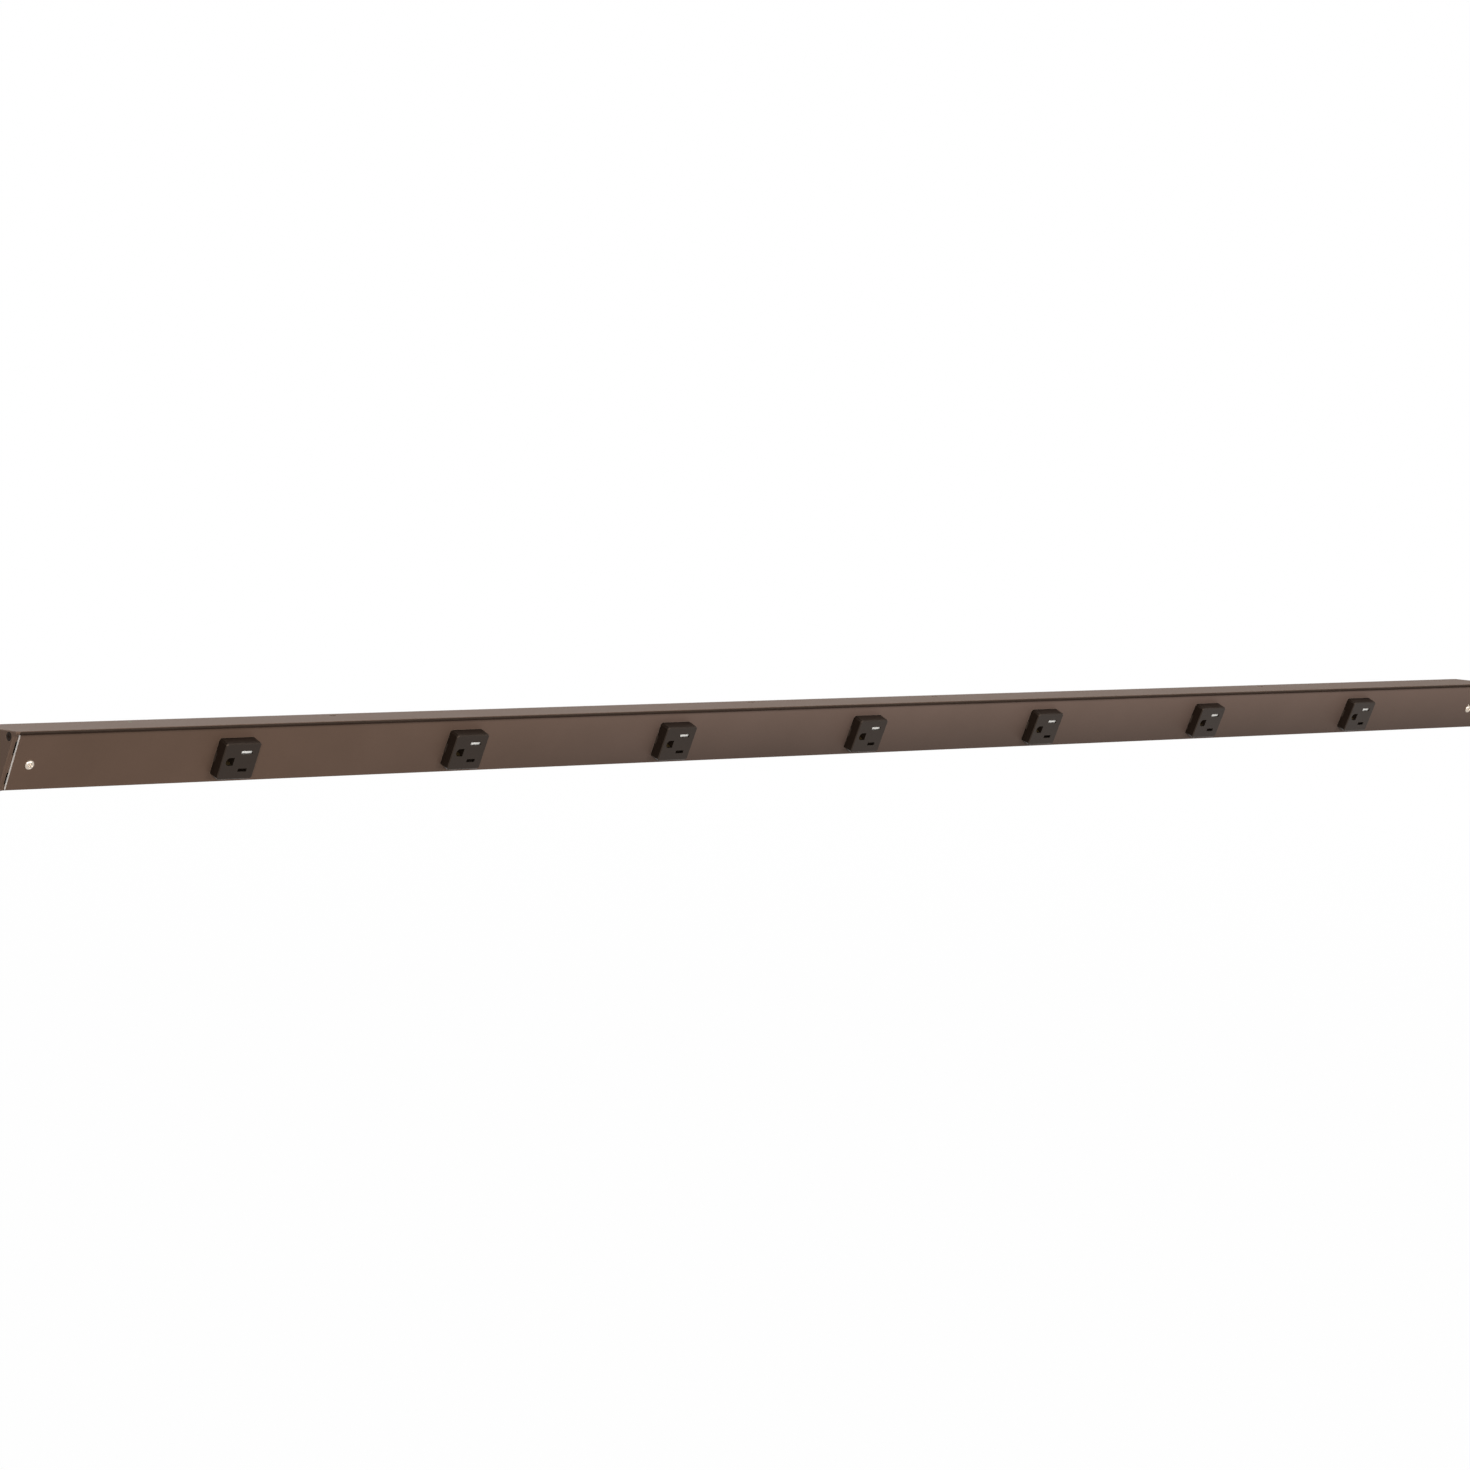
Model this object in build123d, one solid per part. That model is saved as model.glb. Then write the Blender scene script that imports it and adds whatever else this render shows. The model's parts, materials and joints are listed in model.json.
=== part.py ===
from build123d import *
from math import atan, cos, degrees, radians, sin, tan
import os

os.makedirs("parts", exist_ok=True)

# Frame: X along the strip, the sockets face -Y and lean down, +Z up.
# The origin is the centre of the flat top that screws up under the cabinet.

# Housing
overall_length = 1524.0
body_depth = 44.5
body_height = 38.5
front_tilt = 22.5
wall = 1.6
lip_overhang = 1.7
lip_thickness = 0.9
screw_port_bore = 1.6
screw_port_wall = 1.3
screw_port_merge = 0.8
screw_port_slit = 1.4

# Cover
cover_thickness = 1.5
groove_height = 1.3
cover_foot_gap = 0.2
cover_end_gap = 2.4
cover_edge_round = 0.45
cover_hook_thickness = 0.8
cover_hook_reach = 1.0
cover_hook_clearance = 0.15

# End caps
cap_thickness = 2.8
cap_shoulder = 3.4
cap_corner_chamfer = 0.4
cap_edge_chamfer = 0.4
cap_tab_margin = 5.1
cap_tab_width = 12.0
cap_tab_thickness = 2.0
cap_boss_radius = 3.2
cap_boss_height = 3.5
cap_spigot_length = 8.0
cap_spigot_thickness = 1.5
cap_spigot_width = 14.0

# Screws
cover_screw_inset = 12.7
cover_screw_drop = 1.5
cover_screw_radius = 1.75
cover_screw_head_radius = 3.4
cover_screw_head_height = 1.7
cover_screw_head_chamfer = 0.8
cover_screw_length = 9.0
cap_screw_head_radius = 2.7
cap_screw_head_height = 1.5
cap_screw_length = 12.0
bonding_screw_radius = 1.75
bonding_screw_head_radius = 3.6
bonding_screw_head_height = 2.4
recess_width = 0.9
recess_depth = 1.0
screw_clearance = 0.05
hole_clearance = 0.3

# Fixing holes and knockouts
mount_hole_radius = 2.5
mount_hole_back_inset = 9.5
knockout_radius = 11.1
knockout_slot = 0.5
knockout_tab = 3.0
knockout_end_inset = 72.0

# Sockets along the strip
receptacle_count = 7
receptacle_end_inset = 180.0
receptacle_offset = 0.76

# Socket face
face_width = 28.4
face_height = 26.2
face_proud = 8.0
face_shift = 4.2
face_corner = 1.2
face_edge_chamfer = 0.6
face_shell = 1.8
face_front = 1.0
cutout_clearance = 0.2
flange_width = 31.4
flange_height = 28.0
flange_thickness = 1.5
barb_proud = 0.5
barb_height = 1.3
barb_length = 6.0
barb_gap = 0.1

# Blade pattern, turned a quarter turn so that the ground is at the left
blade_spacing = 12.7
ground_offset = 11.9
neutral_slot_length = 9.0
hot_slot_length = 7.2
slot_width = 2.4
ground_hole_width = 5.8
ground_hole_length = 6.4

# Socket base
base_width = 26.0
base_height = 24.0
base_clearance = 0.15
deck_level = 1.5
base_back_level = -19.6
base_roof_gap = 1.5
pocket_clearance = 0.35
wire_groove_clearance = 0.1

# Shutter and its spring
shutter_width = 10.4
shutter_overlap = 0.3
shutter_reserve = 0.1
shutter_thickness = 1.4
shutter_clearance = 0.3
shutter_ramp_drop = 0.7
shutter_window_width = 7.2
hot_ramp_drop = 1.0
rail_width = 1.4
rail_height = 1.7
rail_stop_reach = 1.5
rail_stop_width = 1.0
rail_stop_gap = 0.1
spring_width = 5.6
spring_strip = 0.25
spring_height = 1.2
spring_lift = 0.1
spring_ledge = 1.4
spring_rows = 4
spring_post = 0.8
spring_post_gap = 0.9

# Contacts
contact_sheet = 0.5
contact_width = 7.0
contact_depth = 12.2
contact_flare = 1.6
contact_grip = 0.75
contact_spread = 0.95
contact_top = 0.8
contact_throat_drop = 2.3
ground_contact_top = 6.2
ground_contact_width = 5.4
ground_contact_depth = 14.4
ground_contact_flare = 2.9
ground_contact_grip = 2.25
ground_contact_spread = 2.6
contact_tail_width = 3.0
contact_tail_gap = 0.1

# Wires
wire_radius = 1.7
wire_level = -17.6
wire_tail = 2.0
lead_length = 24.0
lead_start = 7.0
lead_run = 12.0
ring_radius = 4.2
ring_thickness = 0.8
ring_distance = 27.0
tongue_length = 8.0
tongue_relief = 0.5
connector_radius = 3.6
connector_mouth_radius = 4.7
connector_length = 22.0
connector_grip = 10.0

# Worked out from the sizes above
slope = radians(front_tilt)
half_length = overall_length / 2
housing_length = overall_length - 2 * cap_thickness
cover_length = housing_length - 2 * cover_end_gap
nose_y = -body_depth / 2
back_y = body_depth / 2
screw_port_radius = screw_port_bore + screw_port_wall
cover_height = (body_height - wall - groove_height - cover_foot_gap) / cos(slope)
cover_top = cover_height / 2 + receptacle_offset
cover_bottom = cover_top - cover_height
cover_screw_level = receptacle_offset - cover_screw_drop
receptacle_drop = wall + groove_height + cover_top * cos(slope)
receptacle_pitch = (overall_length - 2 * receptacle_end_inset) / (receptacle_count - 1)
mouth_half = flange_height / 2 + cover_hook_thickness + 2 * cover_hook_clearance
flange_back = -cover_thickness - 2 * flange_thickness
outlet_places = [
    receptacle_end_inset - half_length + index * receptacle_pitch for index in range(receptacle_count)
]
mount_hole_y = back_y - mount_hole_back_inset
shutter_top = blade_spacing / 2 + slot_width / 2 + shutter_overlap
shutter_window_top = blade_spacing / 2 - slot_width / 2 - shutter_overlap
shutter_bottom = -blade_spacing / 2 - slot_width / 2 - shutter_overlap
shutter_travel = slot_width + shutter_overlap + shutter_reserve
hot_bar_top = -blade_spacing / 2 + slot_width / 2 + shutter_overlap
spring_floor = hot_bar_top + spring_ledge
spring_post_top = shutter_window_top - spring_post_gap
spring_post_bottom = spring_post_top - spring_post
front_inner_level = face_proud - face_front


def front_y(z, n=0.0):
    """Y of the sloping front at height z, n outward from the cover's outer face."""
    return nose_y + lip_overhang - z * tan(slope) - n / cos(slope)


def slope_point(s, n):
    """Section point (y, z) at s up the slope from the socket line and n outward."""
    centre_y = front_y(-receptacle_drop)
    return (
        centre_y - s * sin(slope) - n * cos(slope),
        -receptacle_drop + s * cos(slope) - n * sin(slope),
    )


def slope_plane(x, s=0.0, n=0.0):
    """Plane on the sloping front: local X along the strip, Y up the slope, Z outward."""
    y, z = slope_point(s, n)
    return Plane(origin=(x, y, z), x_dir=(1, 0, 0), z_dir=(0, -cos(slope), -sin(slope)))


def polygon(points):
    return make_face(Polyline(*points, close=True))


def along_strip(section, length, start):
    """Run a (y, z) section along X from start."""
    return extrude(Plane.YZ.offset(start) * section, amount=length)


def block(x, y, z):
    """A box between the two ends given for each axis."""
    size = Box(x[1] - x[0], y[1] - y[0], z[1] - z[0])
    return Pos((x[0] + x[1]) / 2, (y[0] + y[1]) / 2, (z[0] + z[1]) / 2) * size


def prism_x(points, low, high):
    """A prism along local X from an outline of (y, z) points."""
    return extrude(Plane.YZ.offset(low) * polygon(points), amount=high - low)


def plug(radius, low, high):
    """A cylinder along local Z between two levels."""
    return Pos(0, 0, (low + high) / 2) * Cylinder(radius, high - low)


def bent_strip(points, thickness):
    """Outline of sheet folded through the points, mitred at each bend."""
    spine = [Vector(*point) for point in points]
    runs = [(end - start).normalized() for start, end in zip(spine, spine[1:])]
    sides = [Vector(-run.Y, run.X) for run in runs]
    mitres = [
        (before + after) * (thickness / 2 / (1 + before.dot(after)))
        for before, after in zip(sides[:1] + sides, sides + sides[-1:])
    ]
    left = [place + mitre for place, mitre in zip(spine, mitres)]
    right = [place - mitre for place, mitre in zip(spine, mitres)]
    return polygon([(corner.X, corner.Y) for corner in left + right[::-1]])


def port_centres():
    """Section centres of the two screw ports: under the lip and in the lower back corner."""
    reach = screw_port_radius - screw_port_merge
    top_z = -wall - reach
    top_y = front_y(top_z, -cover_thickness - screw_port_radius)
    return [(top_y, top_z), (back_y - wall - reach, -body_height + wall + reach)]


def screw_port(centre, towards):
    """A round screw channel with a slit that opens towards the inside."""
    ring = Circle(screw_port_radius) - Circle(screw_port_bore)
    slit = Pos(screw_port_radius / 2) * Rectangle(screw_port_radius + 1, screw_port_slit)
    return Pos(*centre) * (ring - Rot(0, 0, towards) * slit)


def housing_section():
    outline = polygon([
        (front_y(0, -cover_thickness), 0),
        (back_y, 0),
        (back_y, -body_height),
        (front_y(-body_height, -cover_thickness), -body_height),
    ])
    hollow = offset(outline, -wall, kind=Kind.INTERSECTION)
    mouth = polygon([
        slope_point(-mouth_half, 0),
        slope_point(-mouth_half, -2 * cover_thickness - 2 * wall),
        slope_point(mouth_half, -2 * cover_thickness - 2 * wall),
        slope_point(mouth_half, 0),
    ])
    lip_root = front_y(0, -cover_thickness - wall)
    lip = polygon([
        (nose_y + lip_thickness / 2, 0),
        (lip_root, 0),
        (lip_root, -wall),
        (front_y(0, -cover_thickness), -wall),
        (front_y(0, -cover_thickness), -lip_thickness),
        (nose_y + lip_thickness / 2, -lip_thickness),
    ])
    nose = Pos(nose_y + lip_thickness / 2, -lip_thickness / 2) * Circle(lip_thickness / 2)
    section = outline - hollow - mouth + lip + nose
    for centre, towards in zip(port_centres(), (-75, 135)):
        clear = Pos(*centre) * Circle(screw_port_bore)
        section = section - clear + screw_port(centre, towards)
    return section


def knockout_ring(x):
    """The stamped slot round a knockout, left whole at two tie tabs."""
    ring = plug(knockout_radius, -wall, wall) - plug(knockout_radius - knockout_slot, -wall, wall)
    tabs = Box(2 * knockout_radius + 1, knockout_tab, 4 * wall)
    face = Plane(origin=(x, back_y - wall / 2, -body_height / 2), x_dir=(1, 0, 0), z_dir=(0, 1, 0))
    return face * (ring - tabs)


def mount_hole_places():
    """Screw holes midway between sockets, two near the ends and two near the middle."""
    outer = outlet_places[-1] - receptacle_pitch / 2
    inner = receptacle_pitch / 2
    return [-outer, -inner, inner, outer]


def housing():
    body = along_strip(housing_section(), housing_length, -housing_length / 2)
    for x in mount_hole_places():
        body -= Pos(x, mount_hole_y, -wall / 2) * Cylinder(mount_hole_radius, 2 * wall)
    for side in (-1, 1):
        body -= knockout_ring(side * (half_length - knockout_end_inset))
    ring_x = bonding_place()
    body -= Pos(ring_x, mount_hole_y, -wall / 2) * Cylinder(
        bonding_screw_radius + screw_clearance, 2 * wall
    )
    return body


def cover_screw_places():
    """The two screws lie evenly about the sockets' openings, which sit off the blade line."""
    inset = cover_length / 2 - cover_screw_inset
    return [-inset, inset - 2 * face_shift]


def cover():
    """Flat plate with a hook along its lower edge that catches behind the housing's leg."""
    hook_top = -flange_height / 2 - cover_hook_clearance
    hook_bottom = hook_top - cover_hook_thickness
    hook_level = -cover_thickness - wall - cover_hook_clearance
    plate = block(
        (-cover_length / 2, cover_length / 2), (cover_bottom, cover_top), (-cover_thickness, 0)
    )
    long_edges = plate.edges().filter_by(Axis.X)
    plate = fillet(long_edges, cover_edge_round)
    hook = [
        (hook_top, -cover_thickness / 2),
        (hook_top, hook_level - cover_hook_thickness),
        (hook_bottom - cover_hook_reach, hook_level - cover_hook_thickness),
        (hook_bottom - cover_hook_reach, hook_level),
        (hook_bottom, hook_level),
        (hook_bottom, -cover_thickness / 2),
    ]
    tab_reach = cap_tab_margin + hole_clearance
    left_screw, right_screw = cover_screw_places()
    plate += prism_x(hook, left_screw + tab_reach, right_screw - tab_reach)
    outline = offset(face_outline(), cutout_clearance, kind=Kind.INTERSECTION)
    opening = extrude(outline, amount=2 * cover_thickness, both=True)
    for x in outlet_places:
        plate -= Pos(x - face_shift, 0, 0) * opening
    for x in cover_screw_places():
        plate -= Pos(x, cover_screw_level, 0) * Cylinder(
            cover_screw_radius + hole_clearance, 4 * cover_thickness
        )
    return slope_plane(0) * plate


def end_cap(side):
    """Flat cap over the section, with a tapped tab behind the cover and a spigot under the top."""
    outline = polygon([
        (nose_y, 0),
        (back_y, 0),
        (back_y, -body_height),
        (front_y(-body_height), -body_height),
        (front_y(-cap_shoulder), -cap_shoulder),
        (nose_y, -wall),
    ])
    outline = chamfer(outline.vertices(), cap_corner_chamfer)
    outer = side * half_length
    inner = side * (half_length - cap_thickness)
    cap = along_strip(outline, cap_thickness, min(outer, inner))
    outer_edges = cap.faces().sort_by(Axis.X)[-1 if side > 0 else 0].edges()
    cap = chamfer(outer_edges, cap_edge_chamfer)

    screw_x = cover_screw_places()[1 if side > 0 else 0]
    tab_back = -cover_thickness - cap_tab_thickness
    tab = block(
        sorted((inner, screw_x - side * cap_tab_margin)),
        (cover_screw_level - cap_tab_width / 2, cover_screw_level + cap_tab_width / 2),
        (tab_back, -cover_thickness),
    )
    boss = plug(cap_boss_radius, tab_back - cap_boss_height, tab_back)
    thread = plug(cover_screw_radius + screw_clearance, tab_back - cap_boss_height - 1, 1)
    screw_seat = Pos(screw_x, cover_screw_level, 0)
    cap += slope_plane(0) * (tab + screw_seat * boss - screw_seat * thread)

    spigot_top = -wall - screw_clearance
    cap += block(
        sorted((inner, inner - side * cap_spigot_length)),
        (-cap_spigot_width / 2, cap_spigot_width / 2),
        (spigot_top - cap_spigot_thickness, spigot_top),
    )
    for y, z in port_centres():
        cap -= Pos(outer, y, z) * cap_screw_hole(side)
    return cap


def cap_screw_hole(side):
    """Counterbored hole that leaves the head just under the cap's face."""
    shaft = Cylinder(screw_port_bore + hole_clearance, 3 * cap_thickness)
    head = cap_screw_head_radius + hole_clearance
    counterbore = plug(head, -cap_screw_head_height - screw_clearance, cap_thickness)
    return Rot(0, side * 90, 0) * (shaft + counterbore)


def cross_recess(level):
    """Crossed driver slots, cut down from the level given."""
    slot = Box(2.2 * recess_width, recess_width / 2, recess_depth)
    place = Pos(0, 0, level - recess_depth / 2)
    return place * (slot + Rot(0, 0, 90) * slot)


def cap_screw():
    """Cylinder-head screw, its head's top at local zero."""
    shank = plug(screw_port_bore - screw_clearance, -cap_screw_length, -cap_screw_head_height / 2)
    head = plug(cap_screw_head_radius, -cap_screw_head_height, 0)
    return head + shank - cross_recess(0)


def cap_screws():
    screws = []
    for side in (-1, 1):
        for y, z in port_centres():
            seat = Pos(side * (half_length - screw_clearance), y, z) * Rot(0, side * 90, 0)
            screws.append(seat * cap_screw())
    return Compound(screws)


def cover_screw():
    """Pan-head screw, the underside of its head at local zero."""
    head = plug(cover_screw_head_radius, 0, cover_screw_head_height)
    head = chamfer(head.edges().group_by(Axis.Z)[-1], cover_screw_head_chamfer)
    shank = plug(cover_screw_radius, -cover_screw_length, cover_screw_head_height / 2)
    return head + shank - cross_recess(cover_screw_head_height)


def cover_screws():
    return Compound([
        slope_plane(x, cover_screw_level) * cover_screw() for x in cover_screw_places()
    ])


def face_outline():
    """Outline of a socket's face, its four corners cut off."""
    outline = Rectangle(face_width, face_height)
    return chamfer(outline.vertices(), face_corner)


def receptacle_face():
    """Moulded front: a deep square cup with a flange behind the cover and two snap barbs."""
    flange_level = -cover_thickness - flange_thickness
    cup = Pos(0, 0, flange_level) * extrude(face_outline(), amount=face_proud - flange_level)
    cup = chamfer(cup.edges().group_by(Axis.Z)[-1], face_edge_chamfer)
    flange = Pos(0, 0, flange_level) * extrude(
        Rectangle(flange_width, flange_height), amount=flange_thickness
    )
    cavity = Pos(0, 0, flange_level) * extrude(
        Rectangle(face_width - 2 * face_shell, face_height - 2 * face_shell),
        amount=front_inner_level - flange_level,
    )
    barb = [
        (face_width / 2 - 0.1, barb_gap),
        (face_width / 2 + barb_proud, barb_gap),
        (face_width / 2 - 0.1, barb_gap + barb_height),
    ]
    snap = extrude(Plane.XZ.offset(-barb_length / 2) * polygon(barb), amount=barb_length)
    cup = cup + flange + snap + Rot(0, 0, 180) * snap - cavity
    return Pos(-face_shift, 0, 0) * cup - blade_openings()


def blade_openings():
    """The three openings of the face: long neutral, short hot and arched ground."""
    level = front_inner_level - face_front / 2
    neutral = Pos(0, blade_spacing / 2) * Rectangle(neutral_slot_length, slot_width)
    hot = Pos(0, -blade_spacing / 2) * Rectangle(hot_slot_length, slot_width)
    arch_radius = ground_hole_width / 2
    straight = ground_hole_length - arch_radius
    arch = Circle(arch_radius) + Pos(straight / 2, 0) * Rectangle(straight, ground_hole_width)
    ground = Pos(-ground_offset - ground_hole_length / 2 + arch_radius, 0) * arch
    return Pos(0, 0, level) * extrude(neutral + hot + ground, amount=2 * face_front)


def roof_space():
    """What lies above a plane just under the housing's roof, seen from the sloping front."""
    above = block(
        (-flange_width, flange_width), (-body_depth, body_depth), (-wall - base_roof_gap, body_height)
    )
    return slope_plane(0).to_local_coords(above)


def receptacle_base():
    """Rear moulding: deck for the shutter, pockets for the contacts, grooves for the wires."""
    inner_width = face_width - 2 * face_shell - 2 * base_clearance
    inner_height = face_height - 2 * face_shell - 2 * base_clearance
    flange_front = -cover_thickness - flange_thickness
    deck = Pos(0, 0, flange_back) * extrude(
        Rectangle(inner_width, inner_height), amount=deck_level - flange_back
    )
    flange = Pos(0, 0, flange_back) * extrude(
        Rectangle(flange_width, flange_height), amount=flange_front - flange_back
    )
    rear = Pos(0, 0, base_back_level) * extrude(
        Rectangle(base_width, base_height), amount=flange_back - base_back_level
    )
    base = Pos(-face_shift, 0, 0) * (deck + flange + rear - roof_space())

    rail_inner = shutter_width / 2 + shutter_clearance
    stop_s = (shutter_bottom - rail_stop_gap - rail_stop_width, shutter_bottom - rail_stop_gap)
    rail_s = (stop_s[0], shutter_top + shutter_travel)
    rail_n = (deck_level, deck_level + rail_height)
    for side in (-1, 1):
        rail_x = sorted((side * rail_inner, side * (rail_inner + rail_width)))
        stop_x = sorted((side * (rail_inner - rail_stop_reach), side * rail_inner))
        base += block(rail_x, rail_s, rail_n)
        base += block(stop_x, stop_s, rail_n)
    base += block(
        (-spring_width / 2, spring_width / 2), (spring_post_bottom, spring_post_top), rail_n
    )

    for place_s in (blade_spacing / 2, -blade_spacing / 2):
        base -= contact_pocket(0, place_s, contact_width, contact_flare, contact_depth)
    base -= contact_pocket(
        -ground_offset, 0, ground_contact_width, ground_contact_flare, ground_contact_depth
    )
    groove_half = wire_radius + wire_groove_clearance
    for place_s in (blade_spacing / 2, 0, -blade_spacing / 2):
        base -= block(
            (-face_shift - base_width, -face_shift + base_width),
            (place_s - groove_half, place_s + groove_half),
            (base_back_level - 1, wire_level + groove_half),
        )
    return base


def contact_pocket(x, s, width, flare, depth):
    """Space for one contact, with a slot below it for the contact's tail."""
    half_width = width / 2 + pocket_clearance
    half_height = flare + contact_sheet / 2 + pocket_clearance / 2
    floor = -depth - contact_sheet / 2 - contact_tail_gap
    pocket = block(
        (x - half_width, x + half_width), (s - half_height, s + half_height), (floor, 2 * deck_level)
    )
    tail_half = contact_tail_width / 2 + pocket_clearance
    tail_height = contact_sheet / 2 + pocket_clearance
    tail = block(
        (x - tail_half, x + tail_half), (s - tail_height, s + tail_height), (wire_level, floor + 1)
    )
    return pocket + tail


def contact(x, s, width, top, depth, flare, grip, spread):
    """Folded brass clip that grips the blade between two sprung leaves."""
    throat = top - contact_throat_drop
    path = [
        (-flare, top),
        (-grip, throat),
        (-spread, -depth),
        (spread, -depth),
        (grip, throat),
        (flare, top),
    ]
    clip = extrude(Plane.YZ.offset(-width / 2) * bent_strip(path, contact_sheet), amount=width)
    tail_end = wire_level + wire_radius + contact_tail_gap
    tail = block(
        (-contact_tail_width / 2, contact_tail_width / 2),
        (-contact_sheet / 2, contact_sheet / 2),
        (tail_end, -depth),
    )
    return Pos(x, s, 0) * (clip + tail)


def shutter():
    """Sliding safety shutter: a ramped bar across each blade slot and a window for its spring."""
    low = deck_level + shutter_clearance
    high = front_inner_level - shutter_clearance
    plate = low + shutter_thickness
    profile = [
        (shutter_bottom, low),
        (shutter_top, low),
        (shutter_top, high),
        (shutter_window_top, high - shutter_ramp_drop),
        (shutter_window_top, plate),
        (hot_bar_top, plate),
        (shutter_bottom, plate - hot_ramp_drop),
    ]
    slider = prism_x(profile, -shutter_width / 2, shutter_width / 2)
    window = block(
        (-shutter_window_width / 2, shutter_window_width / 2),
        (spring_floor, shutter_window_top),
        (low - 1, high + 1),
    )
    return slider - window


def shutter_spring():
    """Leaf folded to and fro between the shutter's lower bar and the base's post."""
    low = spring_floor + spring_strip / 2
    high = spring_post_bottom - spring_strip / 2
    edge = (spring_width - spring_strip) / 2
    rise = (high - low) / (spring_rows - 1)
    path = []
    for row in range(spring_rows):
        start = -edge if row % 2 == 0 else edge
        path += [(start, low + row * rise), (-start, low + row * rise)]
    level = deck_level + spring_lift
    return Pos(0, 0, level) * extrude(bent_strip(path, spring_strip), amount=spring_height)


def base_start():
    """X of the first socket base's outer end, where the wires leave it."""
    return outlet_places[0] - face_shift - base_width / 2


def base_finish():
    return outlet_places[-1] - face_shift + base_width / 2


def bonding_place():
    return base_start() - lead_length - ring_distance


def power_wire(s):
    """Straight insulated wire that lies in the groove of every base."""
    start = base_start() - lead_length
    length = base_finish() + wire_tail - start
    place = slope_plane(start, s, wire_level)
    return place * Rot(0, 90, 0) * Pos(0, 0, length / 2) * Cylinder(wire_radius, length)


def ground_wire():
    """Middle wire, bent up to a ring terminal under the bonding screw."""
    y, z = slope_point(0, wire_level)
    run_start = base_start() - lead_start
    bend_end = run_start - lead_run
    roof_z = -wall - ring_thickness - wire_radius + screw_clearance
    ring_x = bonding_place()
    route = Polyline(
        (base_finish() + wire_tail, y, z),
        (run_start, y, z),
        (bend_end, mount_hole_y, roof_z),
        (ring_x + ring_radius + 2 * tongue_relief, mount_hole_y, roof_z),
    )
    section = Plane(origin=route @ 0, z_dir=route % 0) * Circle(wire_radius)
    wire = sweep(section, path=route, transition=Transition.RIGHT)
    tongue = block(
        (ring_x, ring_x + ring_radius + tongue_length),
        (mount_hole_y - wire_radius, mount_hole_y + wire_radius),
        (-wall - ring_thickness - wire_radius / 2, -wall),
    )
    below = Pos(ring_x, mount_hole_y, -wall - ring_thickness - wire_radius) * Cylinder(
        ring_radius + tongue_relief, 2 * wire_radius
    )
    ring_seat = Pos(ring_x, mount_hole_y, -wall - ring_thickness / 2)
    ring = ring_seat * Cylinder(ring_radius, ring_thickness)
    hole = ring_seat * Cylinder(bonding_screw_radius + screw_clearance, 6 * wall)
    return wire + (tongue - below) + ring - hole


def bonding_screw():
    """Hexagon-head screw that holds the ground wire's ring up against the housing."""
    head_top = -wall - ring_thickness
    head = Pos(0, 0, head_top - bonding_screw_head_height) * extrude(
        RegularPolygon(bonding_screw_head_radius, 6), amount=bonding_screw_head_height
    )
    shank = plug(bonding_screw_radius, head_top - bonding_screw_head_height / 2, -0.1)
    return Pos(bonding_place(), mount_hole_y, 0) * (head + shank)


def splice_connectors():
    """Tapered six-sided caps over the ends of the hot and neutral wires."""
    start = base_start() - lead_length + connector_grip - connector_length
    widening = degrees(atan((connector_mouth_radius - connector_radius) / connector_length))
    shells = []
    for s in (blade_spacing / 2, -blade_spacing / 2):
        cap = extrude(RegularPolygon(connector_radius, 6), amount=connector_length, taper=-widening)
        bore = Pos(0, 0, connector_length) * Cylinder(
            wire_radius + screw_clearance, 2 * (connector_grip + screw_clearance)
        )
        shells.append(slope_plane(start, s, wire_level) * Rot(0, 90, 0) * (cap - bore))
    return Compound(shells)


def receptacle_pieces():
    """Every piece of one socket about its own blade line."""
    return {
        "face": receptacle_face(),
        "base": receptacle_base(),
        "shutter": shutter(),
        "shutter_spring": shutter_spring(),
        "neutral_contact": contact(
            0, blade_spacing / 2, contact_width, contact_top, contact_depth,
            contact_flare, contact_grip, contact_spread,
        ),
        "hot_contact": contact(
            0, -blade_spacing / 2, contact_width, contact_top, contact_depth,
            contact_flare, contact_grip, contact_spread,
        ),
        "ground_contact": contact(
            -ground_offset, 0, ground_contact_width, ground_contact_top, ground_contact_depth,
            ground_contact_flare, ground_contact_grip, ground_contact_spread,
        ),
    }


def write(shape, name):
    export_step(shape, f"parts/{name}.step")
    print(name, round(shape.volume, 1))


write(housing(), "housing")
write(cover(), "cover")
write(end_cap(-1), "end_cap_left")
write(end_cap(1), "end_cap_right")
write(cap_screws(), "end_cap_screws")
write(cover_screws(), "cover_screws")
write(power_wire(blade_spacing / 2), "neutral_wire")
write(power_wire(-blade_spacing / 2), "hot_wire")
write(ground_wire(), "ground_wire")
write(bonding_screw(), "bonding_screw")
write(splice_connectors(), "splice_connectors")
pieces = receptacle_pieces()
for number, x in enumerate(outlet_places, start=1):
    for piece_name, piece in pieces.items():
        write(slope_plane(x) * piece, f"receptacle_{number}_{piece_name}")
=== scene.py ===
import json
from math import cos, pi, radians, sin

import bmesh
import bpy
import numpy as np
from mathutils import Matrix, Vector


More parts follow.
